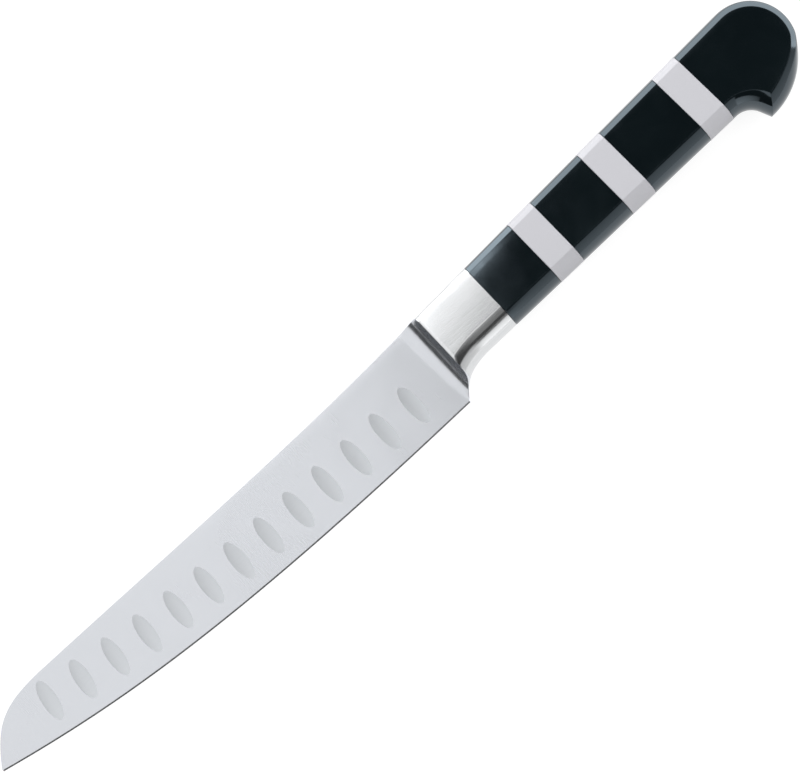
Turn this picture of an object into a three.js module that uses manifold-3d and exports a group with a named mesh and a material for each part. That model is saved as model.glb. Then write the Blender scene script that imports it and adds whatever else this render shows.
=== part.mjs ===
// A kitchen knife with a hollow-edged blade and a banded handle, in millimetres.
// The knife lies on its side: X runs from the tip to the butt, Y from the cutting edge to the spine
// and Z up through the thickness. The drawing's zero is on the rear face of the bolster (x), on the
// straight belly line of the handle (y) and on the middle plane of the blade (z).
import * as THREE from 'three';
import { mergeVertices } from 'three/addons/utils/BufferGeometryUtils.js';
import Module from 'manifold-3d';

// Blade outline
const BLADE_LENGTH = 132;
const TIP_HEIGHT = 6.3;
const TIP_BLUNT = 0.5;
const EDGE_DROP = 5.25;
const EDGE_TIP_PULL = 26;
const EDGE_TIP_SLOPE = 0.24;
const EDGE_HEEL_PULL = 73;
const SPINE_FRONT_HEIGHT = 16.73;
const SPINE_FRONT_SAG = 0.6;
const SPINE_REAR_SAG = 1.5;
const SPINE_STEP = 0.3;
const DROP_LENGTH = 20.6;
const DROP_TIP_PULL = 10.7;
const DROP_TIP_ANGLE = 55;
const DROP_SPINE_PULL = 9.7;

// Blade section
const SPINE_THICKNESS = 2.2;
const POINT_THICKNESS = 1.5;
const SHOULDER_THICKNESS = 0.4;
const APEX_THICKNESS = 0.06;
const BEVEL_HEIGHT = 0.36;

// Hollows ground into both faces above the cutting edge
const HOLLOW_LENGTH = 9.8;
const HOLLOW_WIDTH = 3.6;
const HOLLOW_DEPTH = 0.15;
const HOLLOW_RISE = 8;
const HOLLOW_PITCH = 8.43;
const HOLLOW_BOLSTER_MARGIN = 13;
const HOLLOW_TIP_MARGIN = 14;
const HOLLOW_OVERCUT = 1.15;

// Half bolster and choil
const BOLSTER_LENGTH = 15.2;
const BOLSTER_FILLET = 5.2;
const BOLSTER_ROUND = 5.4;
const FILLET_SINK = 0.05;
const HEEL_RELIEF = 1;
const HEEL_OVERLAP = 1;
const CHOIL_SETBACK = 7.4;
const CHOIL_LENGTH = 11.4;
const CHOIL_BELLY_PULL = 5.6;
const CHOIL_HEEL_PULL = 4.8;
const CHOIL_HEEL_ANGLE = 60;

// Handle section and stack
const HANDLE_THICKNESS = 12;
const EDGE_FLAT = 0.4;
const BELLY_ROUND = 6.2;
const BACK_CROWN = 5;
const BACK_EDGE = 1.6;
const FRONT_HEIGHT = 16.8;
const REAR_HEIGHT = 18.77;
const FRONT_SEGMENT_LENGTH = 13.2;
const SECOND_SEGMENT_LENGTH = 14.45;
const THIRD_SEGMENT_LENGTH = 16.25;
const FERRULE_LENGTH = 6.8;
const FERRULE_WALL = 1.2;
const JOINT_FAN = 2.7;
const BOND_GAP = 0.05;
const SPIGOT_CLEARANCE = 0.15;
const SPIGOT_ROOT = 1.5;

// Pommel
const POMMEL_LENGTH = 23.5;
const BUTT_RADIUS = 10.6;
const UNDERSIDE_RADIUS = 17.3;
const UNDERSIDE_START = -30;
const HOOK_RADIUS = 4.8;
const HOOK_SETBACK = 1.3;
const BEAK_ANGLE = 66;

// Tang, stud, nut and washer
const TANG_HEIGHT = 8;
const TANG_THICKNESS = 4;
const TANG_ENGAGEMENT = 5;
const TANG_CLEARANCE = 0.3;
const SEAT_WEB = 4;
const STUD_DIAMETER = 4;
const STUD_ROOT = 1;
const STUD_PROTRUSION = 0.8;
const THREAD_CLEARANCE = 0.1;
const NUT_DIAMETER = 7;
const NUT_LENGTH = 3.5;
const NUT_CHAMFER = 0.4;
const NUT_SLOT_WIDTH = 1.2;
const NUT_SLOT_DEPTH = 1;
const WASHER_RIM = 0.1;
const WASHER_THICKNESS = 0.8;
const BORE_CLEARANCE = 0.2;
const NOSE_CLEARANCE = 0.2;
const NOSE_TIP_GAP = 1.2;

// Smoothness of the curved faces
const CURVE_STEPS = 8;
const ROUND_STEPS = 6;
const BLADE_STATIONS = 44;
const STATION_CROWDING = 1.5;
const HOLLOW_STEPS = 18;
const HOLLOW_RINGS = 3;
const TURNED_STEPS = 32;
const MERGE_TOLERANCE = 1e-4;
const SEARCH_TOLERANCE = 1e-9;

// Where the pieces meet along the knife
const JOINT_FRONT = FRONT_SEGMENT_LENGTH;
const JOINT_SECOND = JOINT_FRONT + FERRULE_LENGTH;
const JOINT_MIDDLE = JOINT_SECOND + SECOND_SEGMENT_LENGTH;
const JOINT_THIRD = JOINT_MIDDLE + FERRULE_LENGTH;
const JOINT_REAR = JOINT_THIRD + THIRD_SEGMENT_LENGTH;
const JOINT_POMMEL = JOINT_REAR + FERRULE_LENGTH;
const BUTT_X = JOINT_POMMEL + POMMEL_LENGTH;
const HEEL_X = -(CHOIL_SETBACK + CHOIL_LENGTH);
const TIP_X = -(BOLSTER_LENGTH + BLADE_LENGTH);
const FILLET_X = -(BOLSTER_LENGTH + BOLSTER_FILLET);
const TANG_Y = FRONT_HEIGHT / 2;
const TANG_END_X = JOINT_THIRD + TANG_ENGAGEMENT;
const SEAT_X = TANG_END_X + TANG_CLEARANCE + SEAT_WEB;
const NUT_X = SEAT_X + WASHER_THICKNESS + 2 * BOND_GAP;
const STUD_END_X = NUT_X + NUT_LENGTH + STUD_PROTRUSION;

// Sizes that follow from their neighbours
const BACK_WIDTH = (HANDLE_THICKNESS - EDGE_FLAT) / 2 / Math.sqrt(1 - (1 - BACK_EDGE / BACK_CROWN) ** 2);
const WASHER_DIAMETER = NUT_DIAMETER + 2 * WASHER_RIM;
const COUNTERBORE_DIAMETER = WASHER_DIAMETER + 2 * BORE_CLEARANCE;

// Room round the blanks, so that their own rounded ends stay clear of the pieces cut from them
const BLANK_MARGIN = 2 * BELLY_ROUND;
const BLANK_FRONT_X = FILLET_X - BLANK_MARGIN;
const BLANK_REAR_X = BUTT_X + BLANK_MARGIN;
const BLANK_TOP_Y = REAR_HEIGHT + BLANK_MARGIN;
const BLANK_BOTTOM_Y = -(EDGE_DROP + 2 * BLANK_MARGIN);

const wasm = await Module();
wasm.setup();

// A closed three.js geometry as a solid for joining and cutting.
function solidFrom(geometry) {
  geometry.deleteAttribute('normal');
  geometry.deleteAttribute('uv');
  const welded = mergeVertices(geometry, MERGE_TOLERANCE);
  const vertProperties = new Float32Array(welded.getAttribute('position').array);
  const triVerts = new Uint32Array(welded.index.array);
  return new wasm.Manifold(new wasm.Mesh({ numProp: 3, vertProperties, triVerts }));
}

function geometryFrom(solid) {
  const mesh = solid.getMesh();
  const geometry = new THREE.BufferGeometry();
  geometry.setAttribute('position', new THREE.BufferAttribute(mesh.vertProperties, 3));
  geometry.setIndex(new THREE.BufferAttribute(mesh.triVerts, 1));
  geometry.computeVertexNormals();
  return geometry;
}

function degrees(angle) {
  return THREE.MathUtils.degToRad(angle);
}

// Height of the handle's straight back line, which also runs over the bolster.
function backHeight(x) {
  return FRONT_HEIGHT + (REAR_HEIGHT - FRONT_HEIGHT) * x / JOINT_POMMEL;
}

// A prism through the thickness, from a side-view outline.
function prism(outline, depth = 2 * HANDLE_THICKNESS) {
  const geometry = new THREE.ExtrudeGeometry(outline, { depth, bevelEnabled: false });
  return solidFrom(geometry.translate(0, 0, -depth / 2));
}

// A slice of the handle between two joint planes, which fan out along the gently arched handle.
function slice(fromX, toX) {
  const lean = (x, y) => x - (y - REAR_HEIGHT / 2) * Math.tan(degrees(JOINT_FAN) * x / JOINT_POMMEL);
  const outline = new THREE.Shape([
    new THREE.Vector2(lean(fromX, BLANK_BOTTOM_Y), BLANK_BOTTOM_Y),
    new THREE.Vector2(lean(toX, BLANK_BOTTOM_Y), BLANK_BOTTOM_Y),
    new THREE.Vector2(lean(toX, BLANK_TOP_Y), BLANK_TOP_Y),
    new THREE.Vector2(lean(fromX, BLANK_TOP_Y), BLANK_TOP_Y),
  ]);
  return prism(outline);
}

// A turned piece, from a profile of [radius, distance along the knife] pairs.
function turned(profile) {
  const points = profile.map(([radius, along]) => new THREE.Vector2(radius, along));
  const geometry = new THREE.LatheGeometry(points, TURNED_STEPS);
  return solidFrom(geometry.rotateZ(-Math.PI / 2).translate(0, TANG_Y, 0));
}

function rod(diameter, fromX, toX) {
  const radius = diameter / 2;
  return turned([[0, fromX], [radius, fromX], [radius, toX], [0, toX]]);
}

function bar(fromX, toX, height, thickness) {
  const geometry = new THREE.BoxGeometry(toX - fromX, height, thickness);
  return solidFrom(geometry.translate((fromX + toX) / 2, TANG_Y, 0));
}

// The round butt: its centre, the point where the underside takes over from it and the angle there.
const buttSlope = Math.atan2(REAR_HEIGHT - FRONT_HEIGHT, JOINT_POMMEL);
const butt = new THREE.Vector2(BUTT_X - BUTT_RADIUS, 0);
butt.y = backHeight(butt.x) - BUTT_RADIUS / Math.cos(buttSlope);
const handover = degrees(UNDERSIDE_START);
const handoverRay = new THREE.Vector2(Math.cos(handover), Math.sin(handover));
const handoverPoint = handoverRay.clone().multiplyScalar(BUTT_RADIUS).add(butt);

// Outline of the handle's back: the straight back line and the round butt.
function backOutline() {
  const top = Math.PI / 2 + buttSlope;
  const drop = handoverPoint.y - BLANK_BOTTOM_Y;
  const outline = new THREE.Shape();
  outline.moveTo(BLANK_FRONT_X, backHeight(BLANK_FRONT_X));
  outline.lineTo(butt.x + BUTT_RADIUS * Math.cos(top), butt.y + BUTT_RADIUS * Math.sin(top));
  outline.absarc(butt.x, butt.y, BUTT_RADIUS, top, handover, true);
  outline.lineTo(handoverPoint.x + drop * Math.tan(handover), BLANK_BOTTOM_Y);
  outline.lineTo(BLANK_FRONT_X, BLANK_BOTTOM_Y);
  return outline;
}

// Outline of the pommel's underside, from the butt down to the tip of the beak.
function undersideOutline() {
  const centre = handoverRay.clone().multiplyScalar(-UNDERSIDE_RADIUS).add(handoverPoint);
  const hookX = JOINT_POMMEL + HOOK_SETBACK;
  const rise = BLANK_TOP_Y - handoverPoint.y;
  const outline = new THREE.Shape();
  outline.moveTo(BLANK_FRONT_X, BLANK_TOP_Y);
  outline.lineTo(handoverPoint.x - rise * Math.tan(handover), BLANK_TOP_Y);
  outline.lineTo(handoverPoint.x, handoverPoint.y);
  outline.absarc(centre.x, centre.y, UNDERSIDE_RADIUS, handover, -Math.PI / 2, true);
  outline.lineTo(hookX, centre.y - UNDERSIDE_RADIUS);
  outline.lineTo(hookX, BLANK_BOTTOM_Y);
  outline.lineTo(BLANK_FRONT_X, BLANK_BOTTOM_Y);
  return outline;
}

// Outline of the handle's belly: the choil, the belly line and the hook in front of the beak.
function bellyOutline() {
  const heelAngle = degrees(CHOIL_HEEL_ANGLE);
  const heelPull = new THREE.Vector2(Math.cos(heelAngle), Math.sin(heelAngle));
  const runOut = (BLANK_BOTTOM_Y + EDGE_DROP) / Math.tan(heelAngle);
  const hookX = JOINT_POMMEL + HOOK_SETBACK;
  const flank = degrees(90 - BEAK_ANGLE);
  const flankX = hookX + HOOK_RADIUS * Math.cos(flank);
  const flankY = -HOOK_RADIUS + HOOK_RADIUS * Math.sin(flank);
  const outline = new THREE.Shape();
  outline.moveTo(BLANK_FRONT_X - BLANK_MARGIN, BLANK_BOTTOM_Y);
  outline.lineTo(HEEL_X + runOut, BLANK_BOTTOM_Y);
  outline.lineTo(HEEL_X, -EDGE_DROP);
  outline.bezierCurveTo(
    HEEL_X + CHOIL_HEEL_PULL * heelPull.x,
    -EDGE_DROP + CHOIL_HEEL_PULL * heelPull.y,
    -CHOIL_SETBACK - CHOIL_BELLY_PULL,
    0,
    -CHOIL_SETBACK,
    0,
  );
  outline.absarc(hookX, -HOOK_RADIUS, HOOK_RADIUS, Math.PI / 2, flank, true);
  outline.lineTo(flankX + (flankY - BLANK_BOTTOM_Y) * Math.tan(flank), BLANK_BOTTOM_Y);
  outline.lineTo(BLANK_REAR_X, BLANK_BOTTOM_Y);
  outline.lineTo(BLANK_REAR_X, BLANK_TOP_Y);
  outline.lineTo(BLANK_FRONT_X - BLANK_MARGIN, BLANK_TOP_Y);
  return outline;
}

// An outline drawn through the thickness, with both rims rounded by a quarter oval: reach is the oval's
// size in the side view, width its size across. With an inset it shrinks evenly.
function rounded(outline, reach, width, strip, inset) {
  const geometry = new THREE.ExtrudeGeometry(outline, {
    depth: strip,
    curveSegments: CURVE_STEPS,
    bevelThickness: width - inset,
    bevelSize: reach - inset,
    bevelOffset: -reach,
    bevelSegments: ROUND_STEPS,
  });
  return solidFrom(geometry.translate(0, 0, -strip / 2));
}

// The flat-sided bar that the grip segments, ferrules and pommel are cut from, with a crowned back and
// a round belly. With an inset it makes the bores of the ferrules and the spigots that fill them.
function handleBlank(inset) {
  const sides = new THREE.Shape([
    new THREE.Vector2(BLANK_FRONT_X, BLANK_BOTTOM_Y),
    new THREE.Vector2(BLANK_REAR_X, BLANK_BOTTOM_Y),
    new THREE.Vector2(BLANK_REAR_X, BLANK_TOP_Y),
    new THREE.Vector2(BLANK_FRONT_X, BLANK_TOP_Y),
  ]);
  return prism(sides, HANDLE_THICKNESS - 2 * inset)
    .intersect(rounded(backOutline(), BACK_CROWN, BACK_WIDTH, EDGE_FLAT, inset))
    .intersect(rounded(undersideOutline(), BELLY_ROUND, BELLY_ROUND, EDGE_FLAT, inset))
    .intersect(rounded(bellyOutline(), BELLY_ROUND, BELLY_ROUND, EDGE_FLAT, inset));
}

const skin = handleBlank(0);
const ferruleBore = handleBlank(FERRULE_WALL);
const spigotBar = handleBlank(FERRULE_WALL + SPIGOT_CLEARANCE);

// Curves of the blade's side view
const edgeCurve = new THREE.CubicBezierCurve(
  new THREE.Vector2(TIP_X, TIP_HEIGHT),
  new THREE.Vector2(TIP_X + EDGE_TIP_PULL, TIP_HEIGHT - EDGE_TIP_PULL * EDGE_TIP_SLOPE),
  new THREE.Vector2(HEEL_X - EDGE_HEEL_PULL, -EDGE_DROP),
  new THREE.Vector2(HEEL_X, -EDGE_DROP),
);
const dropAngle = degrees(DROP_TIP_ANGLE);
const pointTop = new THREE.Vector2(TIP_X, TIP_HEIGHT + TIP_BLUNT);
const dropEnd = new THREE.Vector2(TIP_X + DROP_LENGTH, SPINE_FRONT_HEIGHT);
const spineEnd = new THREE.Vector2(HEEL_X, backHeight(HEEL_X) - SPINE_STEP);
const spineRun = spineEnd.x - dropEnd.x;
const dropCurve = new THREE.CubicBezierCurve(
  pointTop,
  new THREE.Vector2(Math.cos(dropAngle), Math.sin(dropAngle)).multiplyScalar(DROP_TIP_PULL).add(pointTop),
  new THREE.Vector2(dropEnd.x - DROP_SPINE_PULL, SPINE_FRONT_HEIGHT),
  dropEnd,
);
const spineCurve = new THREE.CubicBezierCurve(
  dropEnd,
  new THREE.Vector2(dropEnd.x + spineRun / 3, SPINE_FRONT_HEIGHT - SPINE_FRONT_SAG),
  new THREE.Vector2(spineEnd.x - spineRun / 3, spineEnd.y - SPINE_REAR_SAG),
  spineEnd,
);

// Where along a curve that runs steadily in x the given x lies.
function shareAt(curve, x) {
  let low = 0;
  let high = 1;
  while (high - low > SEARCH_TOLERANCE) {
    const middle = (low + high) / 2;
    if (curve.getPoint(middle).x < x) low = middle;
    else high = middle;
  }
  return high;
}

function edgeHeight(x) {
  return edgeCurve.getPoint(shareAt(edgeCurve, x)).y;
}

function spineHeight(x) {
  const curve = x < dropEnd.x ? dropCurve : spineCurve;
  return curve.getPoint(shareAt(curve, x)).y;
}

// How fast half the thickness grows with the distance from the edge: less towards the point.
function grindSlope(x) {
  const share = (x - TIP_X) / (HEEL_X - TIP_X);
  const full = THREE.MathUtils.lerp(POINT_THICKNESS, SPINE_THICKNESS, share);
  return (full - SHOULDER_THICKNESS) / 2 / (spineEnd.y + EDGE_DROP);
}

function halfThickness(x, y) {
  return SHOULDER_THICKNESS / 2 + grindSlope(x) * (y - edgeHeight(x));
}

// The six corners of the blade's section at one station: spine, shoulder and apex on both faces.
function bladeSection(x) {
  const edgeY = edgeHeight(x);
  const spineY = spineHeight(x);
  const shoulderY = edgeY + Math.min(BEVEL_HEIGHT, (spineY - edgeY) / 2);
  const face = [
    [spineY, halfThickness(x, spineY)],
    [shoulderY, halfThickness(x, shoulderY)],
    [edgeY, APEX_THICKNESS / 2],
  ];
  const back = face.map(([y, z]) => [y, -z]).reverse();
  return [...face, ...back].map(([y, z]) => new THREE.Vector3(x, y, z));
}

// The ground blade from the point to the heel, as sections joined by flat strips.
function bladePlate() {
  const corners = [];
  for (let i = 0; i <= BLADE_STATIONS; i += 1) {
    const share = (i / BLADE_STATIONS) ** STATION_CROWDING;
    corners.push(...bladeSection(THREE.MathUtils.lerp(TIP_X, HEEL_X, share)));
  }
  const around = 6;
  const last = around * BLADE_STATIONS;
  const index = [];
  for (let start = 0; start < last; start += around) {
    for (let i = 0; i < around; i += 1) {
      const a = start + i;
      const b = start + (i + 1) % around;
      index.push(a, b, a + around, b, b + around, a + around);
    }
  }
  for (let i = 1; i < around - 1; i += 1) {
    index.push(0, i + 1, i);
    index.push(last, last + i, last + i + 1);
  }
  return solidFrom(new THREE.BufferGeometry().setFromPoints(corners).setIndex(index));
}

// One hollow: an oval dish whose long axis stands square to the edge, set into the face of one side.
function hollow(x, side) {
  const tangent = edgeCurve.getTangent(shareAt(edgeCurve, x));
  const y = edgeHeight(x) + HOLLOW_RISE / tangent.x;
  const profile = [];
  for (let i = 0; i <= HOLLOW_RINGS; i += 1) {
    const radius = HOLLOW_OVERCUT * i / HOLLOW_RINGS;
    profile.push(new THREE.Vector2(radius, HOLLOW_DEPTH * (radius ** 2 - 1)));
  }
  profile.push(new THREE.Vector2(0, HOLLOW_DEPTH));
  const across = new THREE.Vector3(tangent.x, tangent.y, 0).multiplyScalar(side);
  const along = new THREE.Vector3(-tangent.y, tangent.x, side * grindSlope(x)).normalize();
  const out = new THREE.Vector3().crossVectors(across, along);
  const place = new THREE.Matrix4().makeBasis(across, out, along.negate());
  place.setPosition(x, y, side * halfThickness(x, y));
  const dish = new THREE.LatheGeometry(profile, HOLLOW_STEPS);
  return solidFrom(dish.scale(HOLLOW_WIDTH / 2, 1, HOLLOW_LENGTH / 2).applyMatrix4(place));
}

// Both rows of hollows, the rear row half a pitch out of step with the front one.
function hollowRows() {
  const rows = [];
  for (const [side, shift] of [[1, 0], [-1, HOLLOW_PITCH / 2]]) {
    const first = -(BOLSTER_LENGTH + HOLLOW_BOLSTER_MARGIN + shift);
    for (let x = first; x > TIP_X + HOLLOW_TIP_MARGIN; x -= HOLLOW_PITCH) rows.push(hollow(x, side));
  }
  return rows;
}

// Cuts one face of the bolster down to the blade, with a round hollow fillet at its front.
function filletCutter(side) {
  const high = 2 * HANDLE_THICKNESS;
  const outline = new THREE.Shape();
  outline.moveTo(FILLET_X - BOLSTER_LENGTH, -FILLET_SINK);
  outline.lineTo(FILLET_X, -FILLET_SINK);
  outline.absarc(FILLET_X, BOLSTER_FILLET - FILLET_SINK, BOLSTER_FILLET, -Math.PI / 2, 0, false);
  outline.lineTo(FILLET_X + BOLSTER_FILLET, high);
  outline.lineTo(FILLET_X - BOLSTER_LENGTH, high);
  const depth = 2 * (BLANK_TOP_Y - BLANK_BOTTOM_Y);
  const geometry = new THREE.ExtrudeGeometry(outline, {
    depth,
    curveSegments: CURVE_STEPS,
    bevelEnabled: false,
  });
  const tilt = Math.atan(grindSlope(HEEL_X));
  const along = new THREE.Vector3(1, 0, 0);
  const out = new THREE.Vector3(0, -Math.sin(tilt), side * Math.cos(tilt));
  const place = new THREE.Matrix4().makeBasis(along, out, new THREE.Vector3().crossVectors(along, out));
  place.setPosition(0, TANG_Y, side * halfThickness(HEEL_X, TANG_Y));
  return solidFrom(geometry.translate(0, 0, -depth / 2).applyMatrix4(place));
}

// The bolster's slab, which reaches over the end of the blade plate.
function bolster() {
  const front = Math.min(FILLET_X, HEEL_X - HEEL_OVERLAP);
  const bottom = HEEL_RELIEF - EDGE_DROP;
  const outline = new THREE.Shape([
    new THREE.Vector2(front, bottom),
    new THREE.Vector2(-BOND_GAP / 2, bottom),
    new THREE.Vector2(-BOND_GAP / 2, BLANK_TOP_Y),
    new THREE.Vector2(front, BLANK_TOP_Y),
  ]);
  const strip = HANDLE_THICKNESS - 2 * BOLSTER_ROUND;
  return prism(outline)
    .intersect(rounded(backOutline(), BACK_CROWN, BACK_WIDTH, EDGE_FLAT, 0))
    .intersect(rounded(bellyOutline(), BOLSTER_ROUND, BOLSTER_ROUND, strip, 0))
    .subtract(filletCutter(1))
    .subtract(filletCutter(-1));
}

// Blade, half bolster, flat tang and round stud: one forging.
function forgedBlade() {
  const root = -BOLSTER_LENGTH / 2;
  const tang = bar(root, TANG_END_X, TANG_HEIGHT, TANG_THICKNESS);
  const stud = rod(STUD_DIAMETER, TANG_END_X - STUD_ROOT, STUD_END_X);
  const forging = bladePlate().add(bolster()).add(tang).add(stud);
  return hollowRows().reduce((solid, dish) => solid.subtract(dish), forging);
}

// The way for the tang, the stud and the nut through the stack.
const tangSlot = bar(
  -BOLSTER_LENGTH,
  TANG_END_X + TANG_CLEARANCE,
  TANG_HEIGHT + 2 * TANG_CLEARANCE,
  TANG_THICKNESS + 2 * TANG_CLEARANCE,
);
const studHole = rod(
  STUD_DIAMETER + 2 * TANG_CLEARANCE,
  TANG_END_X - STUD_ROOT - TANG_CLEARANCE,
  SEAT_X + WASHER_THICKNESS,
);
const counterbore = rod(COUNTERBORE_DIAMETER, SEAT_X, JOINT_POMMEL);
const tangWay = tangSlot.add(studHole).add(counterbore);

// The part of a grip piece that plugs half way into the ferrule behind (+1) or before (-1) a joint.
function spigot(jointX, direction) {
  const reach = FERRULE_LENGTH / 2 - SPIGOT_CLEARANCE / 2;
  const ends = [jointX - direction * SPIGOT_ROOT, jointX + direction * reach];
  return spigotBar.intersect(slice(Math.min(...ends), Math.max(...ends)));
}

function gripSegment(fromX, toX, behindFerrule) {
  const body = skin.intersect(slice(fromX + BOND_GAP / 2, toX - BOND_GAP / 2));
  const plugged = behindFerrule ? body.add(spigot(fromX, -1)) : body;
  return plugged.add(spigot(toX, 1)).subtract(tangWay);
}

function ferrule(fromX) {
  const ring = slice(fromX + BOND_GAP / 2, fromX + FERRULE_LENGTH - BOND_GAP / 2);
  return skin.intersect(ring).subtract(ferruleBore);
}

// The hooked end piece, with a round nose that closes the nut's counterbore.
function pommel() {
  const body = skin.intersect(slice(JOINT_POMMEL + BOND_GAP / 2, BLANK_REAR_X));
  const noseDiameter = COUNTERBORE_DIAMETER - 2 * NOSE_CLEARANCE;
  const nose = rod(noseDiameter, STUD_END_X + NOSE_TIP_GAP, JOINT_POMMEL + SPIGOT_ROOT);
  return body.add(spigot(JOINT_POMMEL, -1)).add(nose);
}

function tangWasher() {
  const inner = STUD_DIAMETER / 2 + THREAD_CLEARANCE;
  const outer = WASHER_DIAMETER / 2;
  const front = SEAT_X + BOND_GAP;
  const rear = front + WASHER_THICKNESS;
  return turned([[inner, front], [outer, front], [outer, rear], [inner, rear], [inner, front]]);
}

// A round nut with a screwdriver slot across its rear face.
function tangNut() {
  const inner = STUD_DIAMETER / 2 + THREAD_CLEARANCE;
  const outer = NUT_DIAMETER / 2;
  const rear = NUT_X + NUT_LENGTH;
  const body = turned([
    [inner, NUT_X],
    [outer, NUT_X],
    [outer, rear - NUT_CHAMFER],
    [outer - NUT_CHAMFER, rear],
    [inner, rear],
    [inner, NUT_X],
  ]);
  return body.subtract(bar(rear - NUT_SLOT_DEPTH, rear + NUT_SLOT_DEPTH, 2 * NUT_DIAMETER, NUT_SLOT_WIDTH));
}

const groundSteel = { color: 0xc4c7ca, roughness: 0.38, metalness: 1 };
const brushedSteel = { color: 0xc9c8cf, roughness: 0.32, metalness: 1 };
const plainSteel = { color: 0xa9acaf, roughness: 0.45, metalness: 1 };
const blackResin = { color: 0x080d10, roughness: 0.12, metalness: 0 };

const pieces = [
  ['forged_blade', forgedBlade(), groundSteel],
  ['front_grip_segment', gripSegment(0, JOINT_FRONT, false), blackResin],
  ['front_ferrule', ferrule(JOINT_FRONT), brushedSteel],
  ['second_grip_segment', gripSegment(JOINT_SECOND, JOINT_MIDDLE, true), blackResin],
  ['middle_ferrule', ferrule(JOINT_MIDDLE), brushedSteel],
  ['third_grip_segment', gripSegment(JOINT_THIRD, JOINT_REAR, true), blackResin],
  ['rear_ferrule', ferrule(JOINT_REAR), brushedSteel],
  ['pommel', pommel(), blackResin],
  ['tang_washer', tangWasher(), plainSteel],
  ['tang_nut', tangNut(), plainSteel],
];

const drawing = new THREE.Group();
for (const [name, solid, finish] of pieces) {
  const mesh = new THREE.Mesh(geometryFrom(solid), new THREE.MeshStandardMaterial(finish));
  mesh.name = name;
  drawing.add(mesh);
}

// The knife's own zero: the middle of its outline, on the surface that it lies on.
const box = new THREE.Box3().setFromObject(drawing);
const middle = box.getCenter(new THREE.Vector3());
drawing.position.set(-middle.x, -middle.y, -box.min.z);

const knife = new THREE.Group();
knife.add(drawing);

export default knife;
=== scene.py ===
"""Hollow-edged kitchen knife with a banded handle: finished meshes, finishes, light and camera."""
from math import cos, pi, radians, sin, sqrt, tan

import bmesh
import bpy
import numpy as np
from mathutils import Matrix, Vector


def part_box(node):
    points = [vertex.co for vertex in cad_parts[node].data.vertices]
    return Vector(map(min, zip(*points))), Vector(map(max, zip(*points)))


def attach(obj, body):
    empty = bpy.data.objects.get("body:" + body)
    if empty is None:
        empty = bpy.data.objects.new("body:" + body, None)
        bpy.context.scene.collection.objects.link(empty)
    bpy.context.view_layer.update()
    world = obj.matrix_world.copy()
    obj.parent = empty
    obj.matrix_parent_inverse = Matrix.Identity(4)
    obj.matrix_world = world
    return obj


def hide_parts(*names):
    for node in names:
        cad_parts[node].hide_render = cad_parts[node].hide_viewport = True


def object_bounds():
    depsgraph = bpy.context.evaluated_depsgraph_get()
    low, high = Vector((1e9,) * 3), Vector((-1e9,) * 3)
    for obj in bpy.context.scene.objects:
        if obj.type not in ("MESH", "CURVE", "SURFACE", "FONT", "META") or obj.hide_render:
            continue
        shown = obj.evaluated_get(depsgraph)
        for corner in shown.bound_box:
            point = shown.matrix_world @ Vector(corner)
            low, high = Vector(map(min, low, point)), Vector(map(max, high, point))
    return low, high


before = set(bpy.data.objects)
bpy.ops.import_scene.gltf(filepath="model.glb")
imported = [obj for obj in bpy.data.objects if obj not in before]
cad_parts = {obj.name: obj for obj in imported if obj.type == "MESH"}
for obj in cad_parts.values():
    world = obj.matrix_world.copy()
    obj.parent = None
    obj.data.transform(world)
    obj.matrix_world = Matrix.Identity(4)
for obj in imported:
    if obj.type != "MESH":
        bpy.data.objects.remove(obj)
CAD_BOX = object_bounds()

# All sizes are in millimetres, in the knife's own drawing. There x runs from the bolster's rear face to
# the butt, y from the belly line of the handle to the back, and z from the middle plane to either side.
MM = 0.001

# Blade, side view
BLADE_LENGTH = 132
TIP_HEIGHT = 6.3
TIP_BLUNT = 0.5
EDGE_DROP = 5.25
EDGE_TIP_PULL = 26
EDGE_TIP_SLOPE = 0.24
EDGE_HEEL_PULL = 73
SPINE_FRONT_HEIGHT = 16.73
SPINE_FRONT_SAG = 0.6
SPINE_REAR_SAG = 1.5
SPINE_STEP = 0.3
DROP_LENGTH = 20.6
DROP_TIP_PULL = 10.7
DROP_TIP_ANGLE = 55
DROP_SPINE_PULL = 9.7

# Blade, thickness
SPINE_THICKNESS = 2.2
POINT_THICKNESS = 1.5
SHOULDER_THICKNESS = 0.4
APEX_THICKNESS = 0.06
BEVEL_HEIGHT = 0.36
SPINE_EASE_SHARE = 0.22

# Hollows
HOLLOW_LENGTH = 9.8
HOLLOW_WIDTH = 3.6
HOLLOW_DEPTH = 0.15
HOLLOW_RISE = 8
HOLLOW_PITCH = 8.43
HOLLOW_BOLSTER_MARGIN = 13
HOLLOW_TIP_MARGIN = 14
WHEEL_OVERSIZE = 1.5

# Bolster
BOLSTER_LENGTH = 15.2
BOLSTER_FILLET = 5.2
FILLET_POWER = 2.25
FRONT_EDGE_EASE = 0.2
BOLSTER_TAPER = 0.22
BOLSTER_ROUND = 5.93
BOLSTER_EDGE = 5.57
BOLSTER_CROWN_START = 8.0
CHOIL_EASE = 0.25
CHOIL_SETBACK = 7.4
CHOIL_LENGTH = 11.4
CHOIL_BELLY_PULL = 5.6
CHOIL_HEEL_PULL = 4.8
CHOIL_HEEL_ANGLE = 60
HEEL_BLEND = 1.6

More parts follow.
